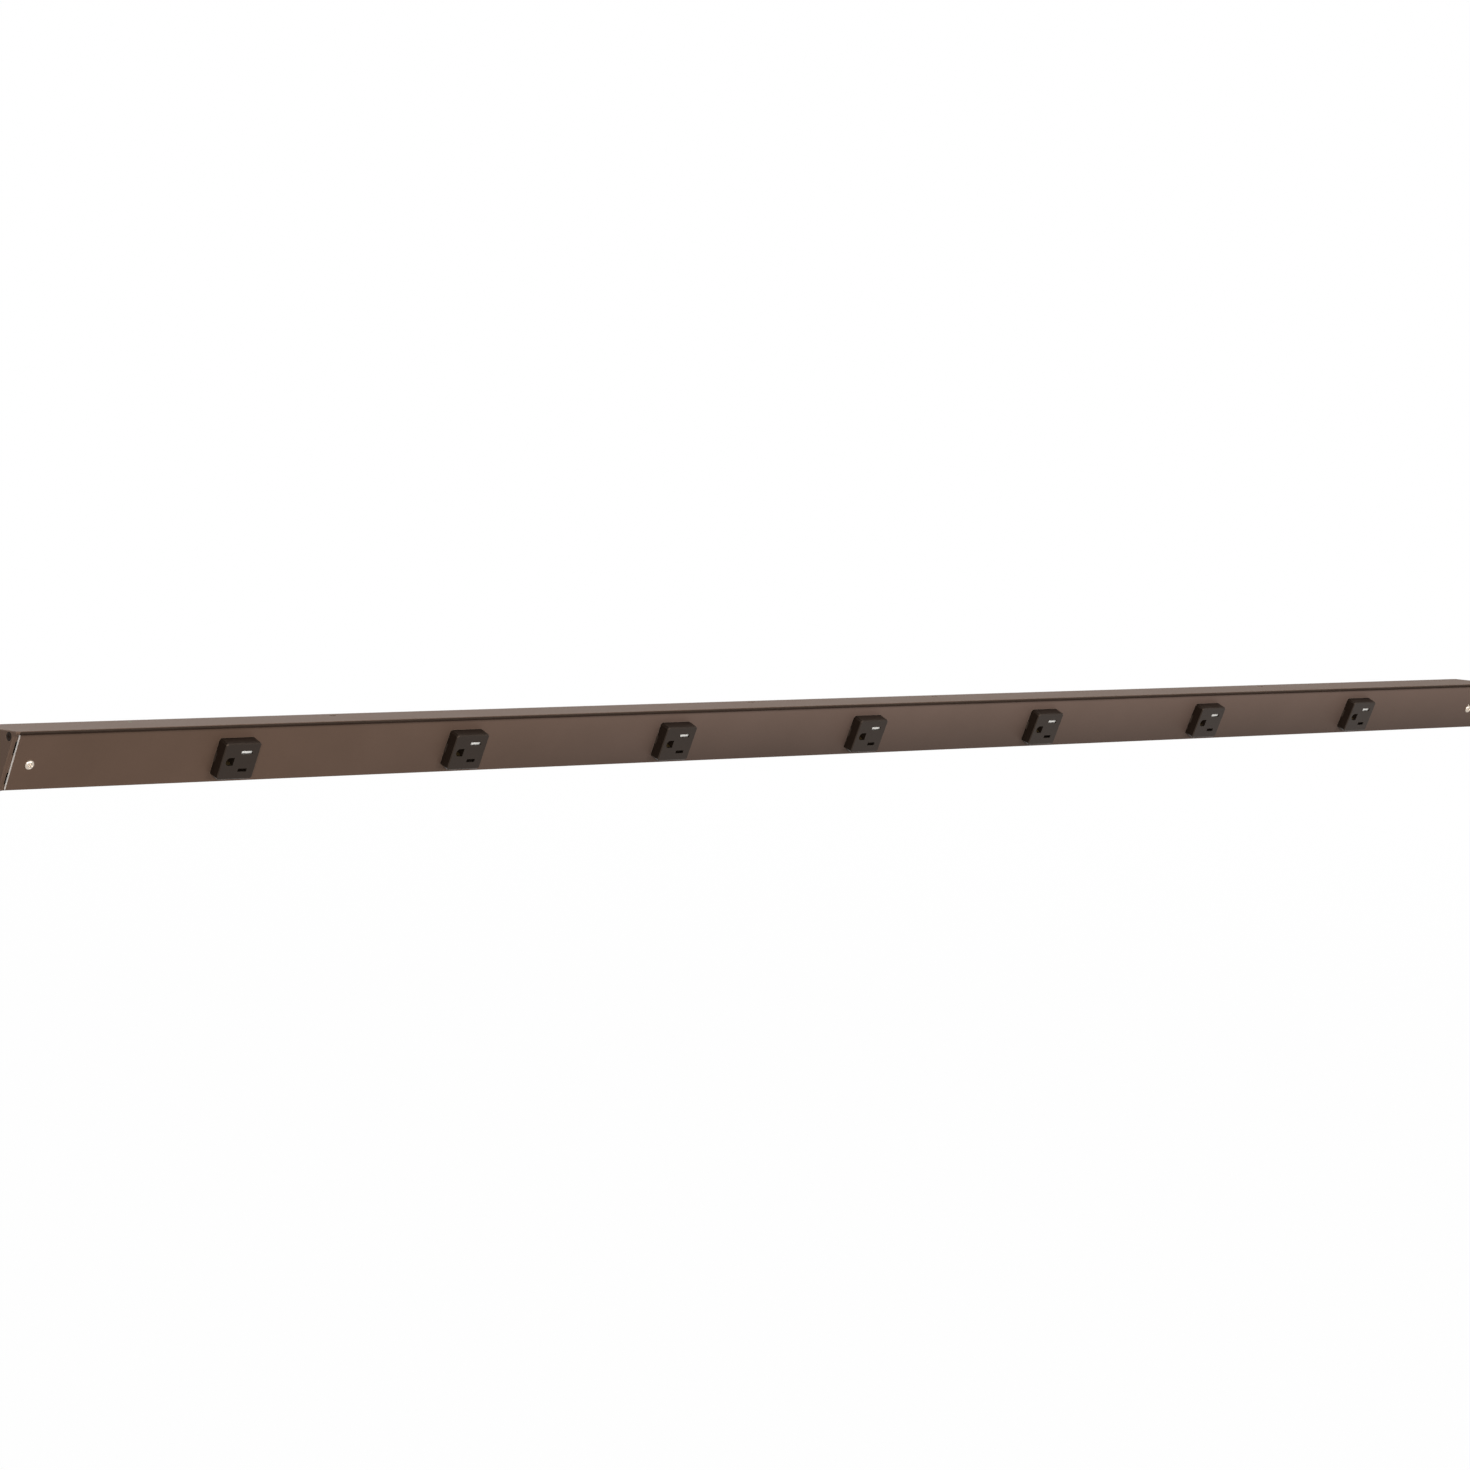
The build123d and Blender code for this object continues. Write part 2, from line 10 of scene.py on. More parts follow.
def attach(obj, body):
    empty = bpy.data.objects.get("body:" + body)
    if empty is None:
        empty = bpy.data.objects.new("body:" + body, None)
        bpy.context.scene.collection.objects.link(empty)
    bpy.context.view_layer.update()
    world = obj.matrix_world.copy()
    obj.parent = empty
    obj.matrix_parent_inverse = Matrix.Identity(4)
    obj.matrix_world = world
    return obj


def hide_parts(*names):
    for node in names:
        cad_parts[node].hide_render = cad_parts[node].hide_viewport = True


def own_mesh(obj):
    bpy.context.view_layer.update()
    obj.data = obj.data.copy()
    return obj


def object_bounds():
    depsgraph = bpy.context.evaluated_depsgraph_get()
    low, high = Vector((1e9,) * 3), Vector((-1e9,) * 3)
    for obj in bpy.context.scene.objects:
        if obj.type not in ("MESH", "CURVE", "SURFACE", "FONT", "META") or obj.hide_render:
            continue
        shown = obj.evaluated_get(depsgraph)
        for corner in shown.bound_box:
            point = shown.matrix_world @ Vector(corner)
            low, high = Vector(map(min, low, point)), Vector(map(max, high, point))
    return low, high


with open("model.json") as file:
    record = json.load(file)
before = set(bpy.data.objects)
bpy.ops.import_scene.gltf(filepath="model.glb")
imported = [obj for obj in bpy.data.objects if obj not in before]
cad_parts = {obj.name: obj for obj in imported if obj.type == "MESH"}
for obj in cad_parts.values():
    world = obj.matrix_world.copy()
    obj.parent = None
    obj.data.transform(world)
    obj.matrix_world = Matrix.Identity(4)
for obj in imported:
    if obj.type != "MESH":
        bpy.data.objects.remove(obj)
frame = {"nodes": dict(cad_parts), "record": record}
cadLow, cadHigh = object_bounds()
print("frame loaded:", len(frame["nodes"]), "nodes")

# the sloping front: along is +X, upSlope climbs the cover, outward leaves it
frontTilt = radians(22.5)
along = np.array([1.0, 0.0, 0.0])
upright = np.array([0.0, 0.0, 1.0])
upSlope = np.array([0.0, -sin(frontTilt), cos(frontTilt)])
outward = np.array([0.0, -cos(frontTilt), -sin(frontTilt)])


def nodePoints(name):
    # a node's vertices, as an array of places in metres
    mesh = frame["nodes"][name].data
    places = np.empty(len(mesh.vertices) * 3)
    mesh.vertices.foreach_get("co", places)
    return places.reshape(-1, 3)


def tone(red, green, blue):
    # a screen colour of 0 to 255 as the linear colour that a shader takes
    level = np.array([red, green, blue]) / 255.0
    linear = np.where(level <= 0.04045, level / 12.92, ((level + 0.055) / 1.055) ** 2.4)
    return (*linear.tolist(), 1.0)


# Camera, at the photograph's view

cameraSetup = {
    "lens": 108.80,
    "sensor": 36.0,
    "clip": (0.1, 100.0),
    "place": (-2.346988, -2.266252, 0.254236),
    "right": (0.7158705, -0.69670634, 0.04614862),
    "down": (-0.02753464, -0.09421047, -0.99517146),
    "forward": (0.69768995, 0.71114321, -0.08662606),
}


def addCamera():
    data = bpy.data.cameras.new("photoCamera")
    data.lens = cameraSetup["lens"]
    data.sensor_width = cameraSetup["sensor"]
    data.clip_start, data.clip_end = cameraSetup["clip"]
    camera = bpy.data.objects.new("photoCamera", data)
    bpy.context.scene.collection.objects.link(camera)
    columns = [cameraSetup["right"], -Vector(cameraSetup["down"]), -Vector(cameraSetup["forward"])]
    turn = Matrix([Vector(column) for column in columns]).transposed()
    camera.matrix_world = Matrix.Translation(cameraSetup["place"]) @ turn.to_4x4()
    bpy.context.scene.camera = camera


addCamera()
print("camera placed")


# Shader nodes in short

def feed(tree, entry, value):
    # an input takes another node's output, or a plain value
    if isinstance(value, bpy.types.NodeSocket):
        tree.links.new(value, entry)
    else:
        entry.default_value = value


def mathNode(tree, operation, *values):
    node = tree.nodes.new("ShaderNodeMath")
    node.operation = operation
    for entry, value in zip(node.inputs, values):
        feed(tree, entry, value)
    return node.outputs[0]


def mapRange(tree, source, fromRange, toRange=(0.0, 1.0), kind="LINEAR"):
    # a value carried from one range into another, and held at its ends
    node = tree.nodes.new("ShaderNodeMapRange")
    node.interpolation_type = kind
    labels = ("Value", "From Min", "From Max", "To Min", "To Max")
    for label, value in zip(labels, (source, *fromRange, *toRange)):
        feed(tree, node.inputs[label], value)
    return node.outputs["Result"]


def mixColours(tree, share, first, second, blend="MIX"):
    # the first colour where share is 0, blended with the second where it is 1
    node = tree.nodes.new("ShaderNodeMix")
    node.data_type = "RGBA"
    node.blend_type = blend
    for label, value in (("Factor", share), ("A", first), ("B", second)):
        feed(tree, node.inputs[label], value)
    return node.outputs["Result"]


def scaleColour(tree, colour, factor):
    node = tree.nodes.new("ShaderNodeVectorMath")
    node.operation = "SCALE"
    tree.links.new(colour, node.inputs[0])
    tree.links.new(factor, node.inputs["Scale"])
    return node.outputs[0]


def objectPlace(tree):
    return tree.nodes.new("ShaderNodeTexCoord").outputs["Object"]


def splitAxes(tree, vector):
    node = tree.nodes.new("ShaderNodeSeparateXYZ")
    tree.links.new(vector, node.inputs[0])
    return node.outputs


def sizedNoise(tree, size, detail, roughness=0.5):
    # a noise on the piece's own coordinates whose frequency is one over the size
    noise = tree.nodes.new("ShaderNodeTexNoise")
    noise.inputs["Detail"].default_value = detail
    noise.inputs["Roughness"].default_value = roughness
    tree.links.new(objectPlace(tree), noise.inputs["Vector"])
    tree.links.new(mathNode(tree, "DIVIDE", 1.0, size), noise.inputs["Scale"])
    return noise.outputs["Fac"]


# Effects that several finishes share

def newGroup(name, inputs, outputs):
    # inputs are (name, value) pairs and outputs are names, all plain numbers
    group = bpy.data.node_groups.new(name, "ShaderNodeTree")
    for label, value in inputs:
        socket = group.interface.new_socket(label, in_out="INPUT", socket_type="NodeSocketFloat")
        socket.default_value = value
    for label in outputs:
        group.interface.new_socket(label, in_out="OUTPUT", socket_type="NodeSocketFloat")
    return group, group.nodes.new("NodeGroupInput"), group.nodes.new("NodeGroupOutput")


grainNoise = {
    "fineDetail": 2.0,
    "broadDetail": 3.0,
    "roughness": 0.55,
    "spread": (0.3, 0.7),  # values of the noise that become 0 and 1
}


def grainGroup():
    # fine grain: a small noise over a broad one, as a mask from 0 to 1 and as a height
    group, given, result = newGroup(
        "fineGrain",
        [("Grain Size", 0.0004), ("Patch Size", 0.02), ("Patch Share", 0.4)],
        ["Mask", "Height"],
    )
    roughness = grainNoise["roughness"]
    fine = sizedNoise(group, given.outputs["Grain Size"], grainNoise["fineDetail"], roughness)
    broad = sizedNoise(group, given.outputs["Patch Size"], grainNoise["broadDetail"], roughness)
    blend = group.nodes.new("ShaderNodeMix")
    for label, value in (("Factor", given.outputs["Patch Share"]), ("A", fine), ("B", broad)):
        group.links.new(value, blend.inputs[label])
    mask = mapRange(group, blend.outputs["Result"], grainNoise["spread"])
    group.links.new(mask, result.inputs["Mask"])
    group.links.new(fine, result.inputs["Height"])
    return group


dustCloud = {
    "tone": (190, 184, 176),
    "detail": 4.0,
    "facing": 0.2,  # how far up a face's normal has to point before dust stays on it: 1 is straight up
}


def dustGroup():
    # dust: more on faces that look up, broken by a cloudy noise
    group, given, result = newGroup("settledDust", [("Amount", 0.1), ("Cloud Size", 0.05)], ["Mask"])
    geometry = group.nodes.new("ShaderNodeNewGeometry")
    axes = splitAxes(group, geometry.outputs["Normal"])
    facingUp = mapRange(group, axes["Z"], (dustCloud["facing"], 1.0))
    cloud = sizedNoise(group, given.outputs["Cloud Size"], dustCloud["detail"])
    cloudy = mathNode(group, "MULTIPLY", facingUp, cloud)
    share = mathNode(group, "MULTIPLY", cloudy, given.outputs["Amount"])
    group.links.new(share, result.inputs["Mask"])
    return group


def buildPaintedJointShade():
    # painted shade in a joint, as the share of the colour that is kept: 1 - depth * rise * front, where
    # rise goes from 0 to 1 between two heights, and front between two places along Y
    group, given, result = newGroup(
        "jointPaintedShade",
        [
            ("Rise Start", 0.0), ("Rise End", 0.001),
            ("Front Start", 0.0), ("Front End", 0.001),
            ("Depth", 0.5),
        ],
        ["Kept"],
    )
    axes = splitAxes(group, objectPlace(group))
    held = given.outputs["Depth"]
    for axisName, label, kind in (("Z", "Rise", "SMOOTHSTEP"), ("Y", "Front", "LINEAR")):
        limits = (given.outputs[label + " Start"], given.outputs[label + " End"])
        held = mathNode(group, "MULTIPLY", held, mapRange(group, axes[axisName], limits, kind=kind))
    group.links.new(mathNode(group, "SUBTRACT", 1.0, held), result.inputs["Kept"])
    return group


streakNoise = {"detail": 4.0}


def streakGroup():
    # streaks of drawn metal: a noise whose frequency is low along X and high across it
    group, given, result = newGroup("drawnStreak", [("Along", 300.0), ("Across", 2000.0)], ["Mask"])
    frequency = group.nodes.new("ShaderNodeCombineXYZ")
    for axisName, label in (("X", "Along"), ("Y", "Across"), ("Z", "Across")):
        group.links.new(given.outputs[label], frequency.inputs[axisName])
    stretched = group.nodes.new("ShaderNodeVectorMath")
    stretched.operation = "MULTIPLY"
    group.links.new(objectPlace(group), stretched.inputs[0])
    group.links.new(frequency.outputs[0], stretched.inputs[1])
    noise = group.nodes.new("ShaderNodeTexNoise")
    noise.inputs["Scale"].default_value = 1.0
    noise.inputs["Detail"].default_value = streakNoise["detail"]
    group.links.new(stretched.outputs[0], noise.inputs["Vector"])
    group.links.new(noise.outputs["Fac"], result.inputs["Mask"])
    return group


wornAndHighlitEdge = {
    "samples": 8,
    "likeness": (0.995, 0.85),  # cosine between the two normals where the wear and its painted highlight start, and where they are full
}


def buildWearAndHighlight():
    # rubbed edges with a painted highlight: the mask grows as the normal, rounded over a small radius,
    # turns from the true one
    group, given, result = newGroup("edgeWearAndHighlight", [("Radius", 0.0003), ("Amount", 0.3)], ["Mask"])
    geometry = group.nodes.new("ShaderNodeNewGeometry")
    rounded = group.nodes.new("ShaderNodeBevel")
    rounded.samples = wornAndHighlitEdge["samples"]
    group.links.new(given.outputs["Radius"], rounded.inputs["Radius"])
    alike = group.nodes.new("ShaderNodeVectorMath")
    alike.operation = "DOT_PRODUCT"
    group.links.new(rounded.outputs["Normal"], alike.inputs[0])
    group.links.new(geometry.outputs["Normal"], alike.inputs[1])
    turned = mapRange(group, alike.outputs["Value"], wornAndHighlitEdge["likeness"], kind="SMOOTHSTEP")
    share = mathNode(group, "MULTIPLY", turned, given.outputs["Amount"])
    group.links.new(share, result.inputs["Mask"])
    return group


fineGrain = grainGroup()
settledDust = dustGroup()
edgeWearAndHighlight = buildWearAndHighlight()
jointPaintedShade = buildPaintedJointShade()
drawnStreak = streakGroup()
print("shared effects built")


# Finishes

bumpHeight = {
    "grain": 0.5,        # as a share of the grain's size
    "streaks": 0.00005,  # in metres
}


def placeGroup(tree, group, values):
    node = tree.nodes.new("ShaderNodeGroup")
    node.node_tree = group
    for label, value in values.items():
        node.inputs[label].default_value = value
    return node


def paintSlopeLightAndShade(tree, colour, shade):
    # painted light and shade: the colour times a factor that rises from the cover's lower edge to its
    # upper one, more to the right, so the upper part is painted lighter and the lower part darker: 1 +
    # depth * climb * reach, where climb runs from -1 to 1 up the slope and reach from 0 to 1 along X. The
    # same reach draws the colour towards the tint
    turn = tree.nodes.new("ShaderNodeMapping")
    turn.inputs["Rotation"].default_value = (-frontTilt, 0.0, 0.0)
    tree.links.new(objectPlace(tree), turn.inputs["Vector"])
    axes = splitAxes(tree, turn.outputs["Vector"])
    climb = mapRange(tree, axes["Z"], shade["rise"], (-shade["depth"], shade["depth"]))
    reach = mapRange(tree, axes["X"], shade["run"], kind="SMOOTHSTEP")
    tinted = mixColours(tree, reach, colour, shade["tint"], "MULTIPLY")
    return scaleColour(tree, tinted, mathNode(tree, "MULTIPLY_ADD", climb, reach, 1.0))


def paintJointShade(tree, colour, joint):
    # painted shade in a joint: the colour times the share that the painted shade leaves of it
    paintedShadeNode = placeGroup(tree, jointPaintedShade, {
        "Rise Start": joint["rise"][0],
        "Rise End": joint["rise"][1],
        "Front Start": joint["front"][0],
        "Front End": joint["front"][1],
        "Depth": joint["depth"],
    })
    return scaleColour(tree, colour, paintedShadeNode.outputs["Kept"])


def paintWearAndHighlight(tree, colour, wearAndHighlight):
    # the colour mixed towards the lighter tone along the edges: wear, and a painted highlight
    rubbedAndLit = placeGroup(tree, edgeWearAndHighlight, {"Radius": wearAndHighlight["radius"], "Amount": wearAndHighlight["amount"]})
    return mixColours(tree, rubbedAndLit.outputs["Mask"], colour, tone(*wearAndHighlight["tone"]))


def startMaterial(name, look):
    # a material with the look's share of metal and its gloss
    material = bpy.data.materials.new(name)
    material.use_nodes = True
    shader = material.node_tree.nodes["Principled BSDF"]
    shader.inputs["Metallic"].default_value = look["metallic"]
    shader.inputs["Specular IOR Level"].default_value = look.get("specular", 0.5)
    shader.inputs["Specular Tint"].default_value = tone(*look.get("glossTone", (255, 255, 255)))
    return material


def twoTones(tree, look, mask):
    return mixColours(tree, mask, tone(*look["deepTone"]), tone(*look["paleTone"]))


def coatShader(tree, look, colour, mask, height, distance):
    # the colour, a roughness that follows the mask, and a bump that follows the height
    shader = tree.nodes["Principled BSDF"]
    bump = tree.nodes.new("ShaderNodeBump")
    bump.inputs["Strength"].default_value = look["bump"]
    bump.inputs["Distance"].default_value = distance
    tree.links.new(height, bump.inputs["Height"])
    tree.links.new(colour, shader.inputs["Base Color"])
    tree.links.new(mapRange(tree, mask, (0.0, 1.0), look["roughness"]), shader.inputs["Roughness"])
    tree.links.new(bump.outputs["Normal"], shader.inputs["Normal"])


def finishMaterial(name, look):
    # two tones mixed by the grain with dust on them, then the edge wear with its painted highlight and the
    # painted light and shade that the look asks for; the same grain is in the roughness and in a shallow
    # bump
    material = startMaterial(name, look)
    tree = material.node_tree
    grain = placeGroup(tree, fineGrain, {
        "Grain Size": look["grainSize"],
        "Patch Size": look["patchSize"],
        "Patch Share": look["patchShare"],
    })
    mask, height = grain.outputs["Mask"], grain.outputs["Height"]
    dust = placeGroup(tree, settledDust, {"Amount": look.get("dust", 0.0)})
    dustColour = tone(*dustCloud["tone"])
    painted = mixColours(tree, dust.outputs["Mask"], twoTones(tree, look, mask), dustColour)
    # lighter edges: wear, and a painted highlight
    if "wearAndHighlight" in look:
        painted = paintWearAndHighlight(tree, painted, look["wearAndHighlight"])
    # painted light and shade on the cover: lighter up its slope, darker down it
    if "paintedSlopeLightAndShade" in look:
        painted = paintSlopeLightAndShade(tree, painted, look["paintedSlopeLightAndShade"])
    # painted shade in the groove under the housing's lip
    if "paintedJointShade" in look:
        painted = paintJointShade(tree, painted, look["paintedJointShade"])
    coatShader(tree, look, painted, mask, height, look["grainSize"] * bumpHeight["grain"])
    return material


def drawnMaterial(name, look):
    # metal drawn along X: the streaks set the tone, the roughness and the bump
    material = startMaterial(name, look)
    tree = material.node_tree
    streak = placeGroup(tree, drawnStreak, {"Along": look["streak"][0], "Across": look["streak"][1]})
    mask = streak.outputs["Mask"]
    coatShader(tree, look, twoTones(tree, look, mask), mask, mask, bumpHeight["streaks"])
    return material


bronzeLook = {
    "deepTone": (88, 69, 57),
    "paleTone": (96, 76, 64),
    "metallic": 0.2,
    "specular": 0.2,
    "glossTone": (255, 238, 222),
    "roughness": (0.52, 0.62),
    "grainSize": 0.0005,
    "patchSize": 0.05,
    "patchShare": 0.6,
    "bump": 0.06,
    "dust": 0.015,
    # lighter edges: wear, and a painted highlight
    "wearAndHighlight": {"radius": 0.0004, "amount": 0.45, "tone": (168, 146, 128)},
}
# painted shade in a joint goes from nothing to full between the two heights of rise and the two Y of
# front;
# for the housing it darkens the lip's nose and the groove behind it
housingLook = {
    **bronzeLook,
    "paintedJointShade": {"rise": (-0.0001, -0.0006), "front": (-0.0168, -0.0178), "depth": 0.68},
}
coverRise = nodePoints("cover") @ upSlope
# the cover's painted light and shade: lighter up the slope and darker down it, more to the right, with a
# cooler tint there; and painted shade along its top edge, in the groove under the housing's lip
coverLook = {
    **bronzeLook,
    "paintedSlopeLightAndShade": {
        "rise": (coverRise.min(), coverRise.max()),
        "run": (-0.62, -0.1),
        "depth": 0.31,
        "tint": (1.0, 1.08, 1.21, 1.0),
    },
    "paintedJointShade": {"rise": (-0.0044, -0.0026), "front": (0.0, -0.001), "depth": 0.35},
}
blackMouldingLook = {
    "deepTone": (20, 14, 10),
    "paleTone": (27, 20, 15),
    "metallic": 0.0,
    "specular": 0.35,
    "glossTone": (255, 224, 202),
    "roughness": (0.38, 0.48),
    "grainSize": 0.0004,
    "patchSize": 0.01,
    "patchShare": 0.3,
    "bump": 0.12,
    "dust": 0.01,
    # lighter edges: wear, and a painted highlight
    "wearAndHighlight": {"radius": 0.00022, "amount": 0.3, "tone": (104, 92, 82)},
}
shutterLook = {
    "deepTone": (236, 233, 226),
    "paleTone": (246, 244, 239),
    "metallic": 0.0,
    "roughness": (0.3, 0.4),
    "grainSize": 0.0005,
    "patchSize": 0.004,
    "patchShare": 0.5,
    "bump": 0.04,
}
darkScrewLook = {
    "deepTone": (22, 15, 11),
    "paleTone": (34, 25, 19),
    "metallic": 0.0,
    "specular": 0.1,
    "glossTone": (255, 215, 185),
    "roughness": (0.4, 0.55),
    "grainSize": 0.0003,
    "patchSize": 0.002,
    "patchShare": 0.5,
    "bump": 0.08,
}
brightScrewLook = {
    "deepTone": (190, 177, 162),
    "paleTone": (213, 201, 187),
    "metallic": 0.9,
    "roughness": (0.22, 0.34),
    "grainSize": 0.0003,
    "patchSize": 0.002,
    "patchShare": 0.5,
    "bump": 0.05,
}
cutEdgeLook = {
    "deepTone": (234, 226, 216),
    "paleTone": (254, 249, 243),
    "metallic": 0.0,
    "roughness": (0.4, 0.6),
    "streak": (300.0, 900.0),
    "bump": 0.4,
}
# brass toned far darker than the metal itself: painted shade for the contacts deep in their sockets
shadedBrassLook = {
    "deepTone": (112, 92, 58),
    "paleTone": (150, 127, 86),
    "metallic": 1.0,
    "roughness": (0.4, 0.52),
    "streak": (300.0, 2500.0),
    "bump": 0.1,
}
springLook = {
    "deepTone": (168, 168, 168),
    "paleTone": (206, 206, 204),
    "metallic": 1.0,
    "roughness": (0.2, 0.3),
    "streak": (200.0, 3000.0),
    "bump": 0.08,
}
bondingLook = {
    "deepTone": (24, 104, 48),
    "paleTone": (38, 130, 66),
    "metallic": 0.6,
    "roughness": (0.25, 0.4),
    "grainSize": 0.0004,
    "patchSize": 0.003,
    "patchShare": 0.5,
    "bump": 0.08,
}
wireLook = {
    "metallic": 0.0,
    "roughness": (0.3, 0.42),
    "grainSize": 0.0006,
    "patchSize": 0.03,
    "patchShare": 0.6,
    "bump": 0.05,
}
blackWireLook = {**wireLook, "deepTone": (30, 30, 31), "paleTone": (38, 38, 40)}
whiteWireLook = {**wireLook, "deepTone": (222, 221, 215), "paleTone": (234, 233, 228)}
greenWireLook = {**wireLook, "deepTone": (22, 110, 52), "paleTone": (34, 128, 64)}
connectorLook = {
    "deepTone": (206, 104, 36),
    "paleTone": (222, 122, 48),
    "metallic": 0.0,
    "roughness": (0.32, 0.44),
    "grainSize": 0.0005,
    "patchSize": 0.006,
    "patchShare": 0.4,
    "bump": 0.08,
}

bronzePaint = finishMaterial("bronzePaint", bronzeLook)
coverPaint = finishMaterial("coverPaint", coverLook)
housingPaint = finishMaterial("housingPaint", housingLook)
blackMoulding = finishMaterial("blackMoulding", blackMouldingLook)
shutterWhite = finishMaterial("shutterWhite", shutterLook)
darkScrew = finishMaterial("darkScrew", darkScrewLook)
brightScrew = finishMaterial("brightScrew", brightScrewLook)
bondingGreen = finishMaterial("bondingGreen", bondingLook)
connectorShell = finishMaterial("connectorShell", connectorLook)
blackInsulation = finishMaterial("blackInsulation", blackWireLook)
whiteInsulation = finishMaterial("whiteInsulation", whiteWireLook)
greenInsulation = finishMaterial("greenInsulation", greenWireLook)
cutAluminium = drawnMaterial("cutAluminium", cutEdgeLook)
shadedContactBrass = drawnMaterial("shadedContactBrass", shadedBrassLook)
springSteel = drawnMaterial("springSteel", springLook)

materialOfSlot = {
    "bronze_finish": bronzePaint,
    "black_moulding": blackMoulding,
    "shutter_white": shutterWhite,
    "contact_brass": shadedContactBrass,
    "spring_steel": springSteel,
    "bright_screw": brightScrew,
    "dark_screw": darkScrew,
    "bonding_green": bondingGreen,
    "black_insulation": blackInsulation,
    "white_insulation": whiteInsulation,
    "green_insulation": greenInsulation,
    "connector_shell": connectorShell,
}
materialOfNode = {"cover": coverPaint, "housing": housingPaint}
for subpart in frame["record"]["subparts"]:
    finish = materialOfNode.get(subpart["node"], materialOfSlot[subpart["material_slot"]])
    for holder in frame["nodes"][subpart["node"]].material_slots:
        holder.material = finish


# Surfaces worked out as grids

def gridFaces(rows, columns, start):
    # quads of a grid whose columns run round and meet; its first and last rows have no width
    row, column = np.meshgrid(np.arange(rows - 1), np.arange(columns), indexing="ij")
    beside = (column + 1) % columns
    quads = np.stack([
        row * columns + column,
        row * columns + beside,
        (row + 1) * columns + beside,
        (row + 1) * columns + column,
    ], axis=-1)
    return quads.reshape(-1, 4) + start


def gridPiece(name, grids, material):
    # one smooth mesh from grids of points: rows along the shape, columns round it
    points, quads, start = [], [], 0
    for grid in grids:
        rows, columns = grid.shape[:2]
        points.append(grid.reshape(-1, 3))
        quads.append(gridFaces(rows, columns, start))
        start += rows * columns
    allPoints, allQuads = np.concatenate(points), np.concatenate(quads)
    mesh = bpy.data.meshes.new(name)
    mesh.vertices.add(len(allPoints))
    mesh.vertices.foreach_set("co", allPoints.ravel())
    mesh.loops.add(allQuads.size)
    mesh.loops.foreach_set("vertex_index", allQuads.ravel())
    mesh.polygons.add(len(allQuads))
    mesh.polygons.foreach_set("loop_start", np.arange(0, allQuads.size, 4))
    mesh.polygons.foreach_set("loop_total", np.full(len(allQuads), 4))
    mesh.update(calc_edges=True)
    mesh.validate()
    mesh.materials.append(material)
    mesh.polygons.foreach_set("use_smooth", np.ones(len(mesh.polygons), dtype=bool))
    piece = bpy.data.objects.new(name, mesh)
    bpy.context.scene.collection.objects.link(piece)
    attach(piece, "strip")
    return piece


# Screws

coverScrew = {
    "headRadius": 0.0034,
    "headHeight": 0.0017,
    "domed": True,
    "domeSpread": 3.2,      # power of the radius: higher keeps the dome's top flat for longer
    "domeFall": 0.45,       # power of the fall: lower makes the rim steeper
    "shankRadius": 0.00168,
    "length": 0.009,
    "threadPitch": 0.0013,
    "threadDepth": 0.00022,
    "recessReach": 0.0019,
    "recessWidth": 0.00042,
    "recessDepth": 0.0011,
    "recessFloor": 0.35,    # depth at the arms' ends, as a share of the depth in the middle
    "recessFull": 0.15,     # share of the reach over which the recess has its full depth
    "softness": 0.00006,
}
capScrew = {
    **coverScrew,
    "headRadius": 0.00268,
    "headHeight": 0.0015,
    "domed": False,
    "rimPower": 6,          # power of the radius with which a flat head's rim drops
    "shankRadius": 0.0015,
    "length": 0.012,
    "recessReach": 0.0015,
    "recessDepth": 0.0009,
}
screwMesh = {
    "topRows": 40,
    "underRows": 8,
    "shankRows": 150,
    "tipRows": 5,
    "columns": 96,
    "tipStart": 0.2,        # share of the tip's height at its first row
    "tipHeight": 0.0003,
}


def headProfile(shape):
    # radii and heights from the middle of the head's top to its rim, then in under it to the shank.
    # A dome's height is one less a power of the radius, raised to a second power; a flat top drops
    # below its middle by a high power of the radius
    across = np.linspace(0.0, 1.0, screwMesh["topRows"])
    under = np.linspace(1.0, 0.0, screwMesh["underRows"])
    underRadius = shape["shankRadius"] + (shape["headRadius"] - shape["shankRadius"]) * under
    if shape["domed"]:
        across = np.sin(across * pi / 2)
        topHeight = shape["headHeight"] * (1.0 - across ** shape["domeSpread"]) ** shape["domeFall"]
        underHeight = np.zeros_like(underRadius)
    else:
        topHeight = -shape["softness"] * across ** shape["rimPower"]
        underHeight = np.full_like(underRadius, -shape["headHeight"])
    return shape["headRadius"] * across, topHeight, underRadius, underHeight


def softStep(value, edge, softness):
    # 1 well below the edge and 0 well above it
    return 1.0 / (1.0 + np.exp((value - edge) / softness))


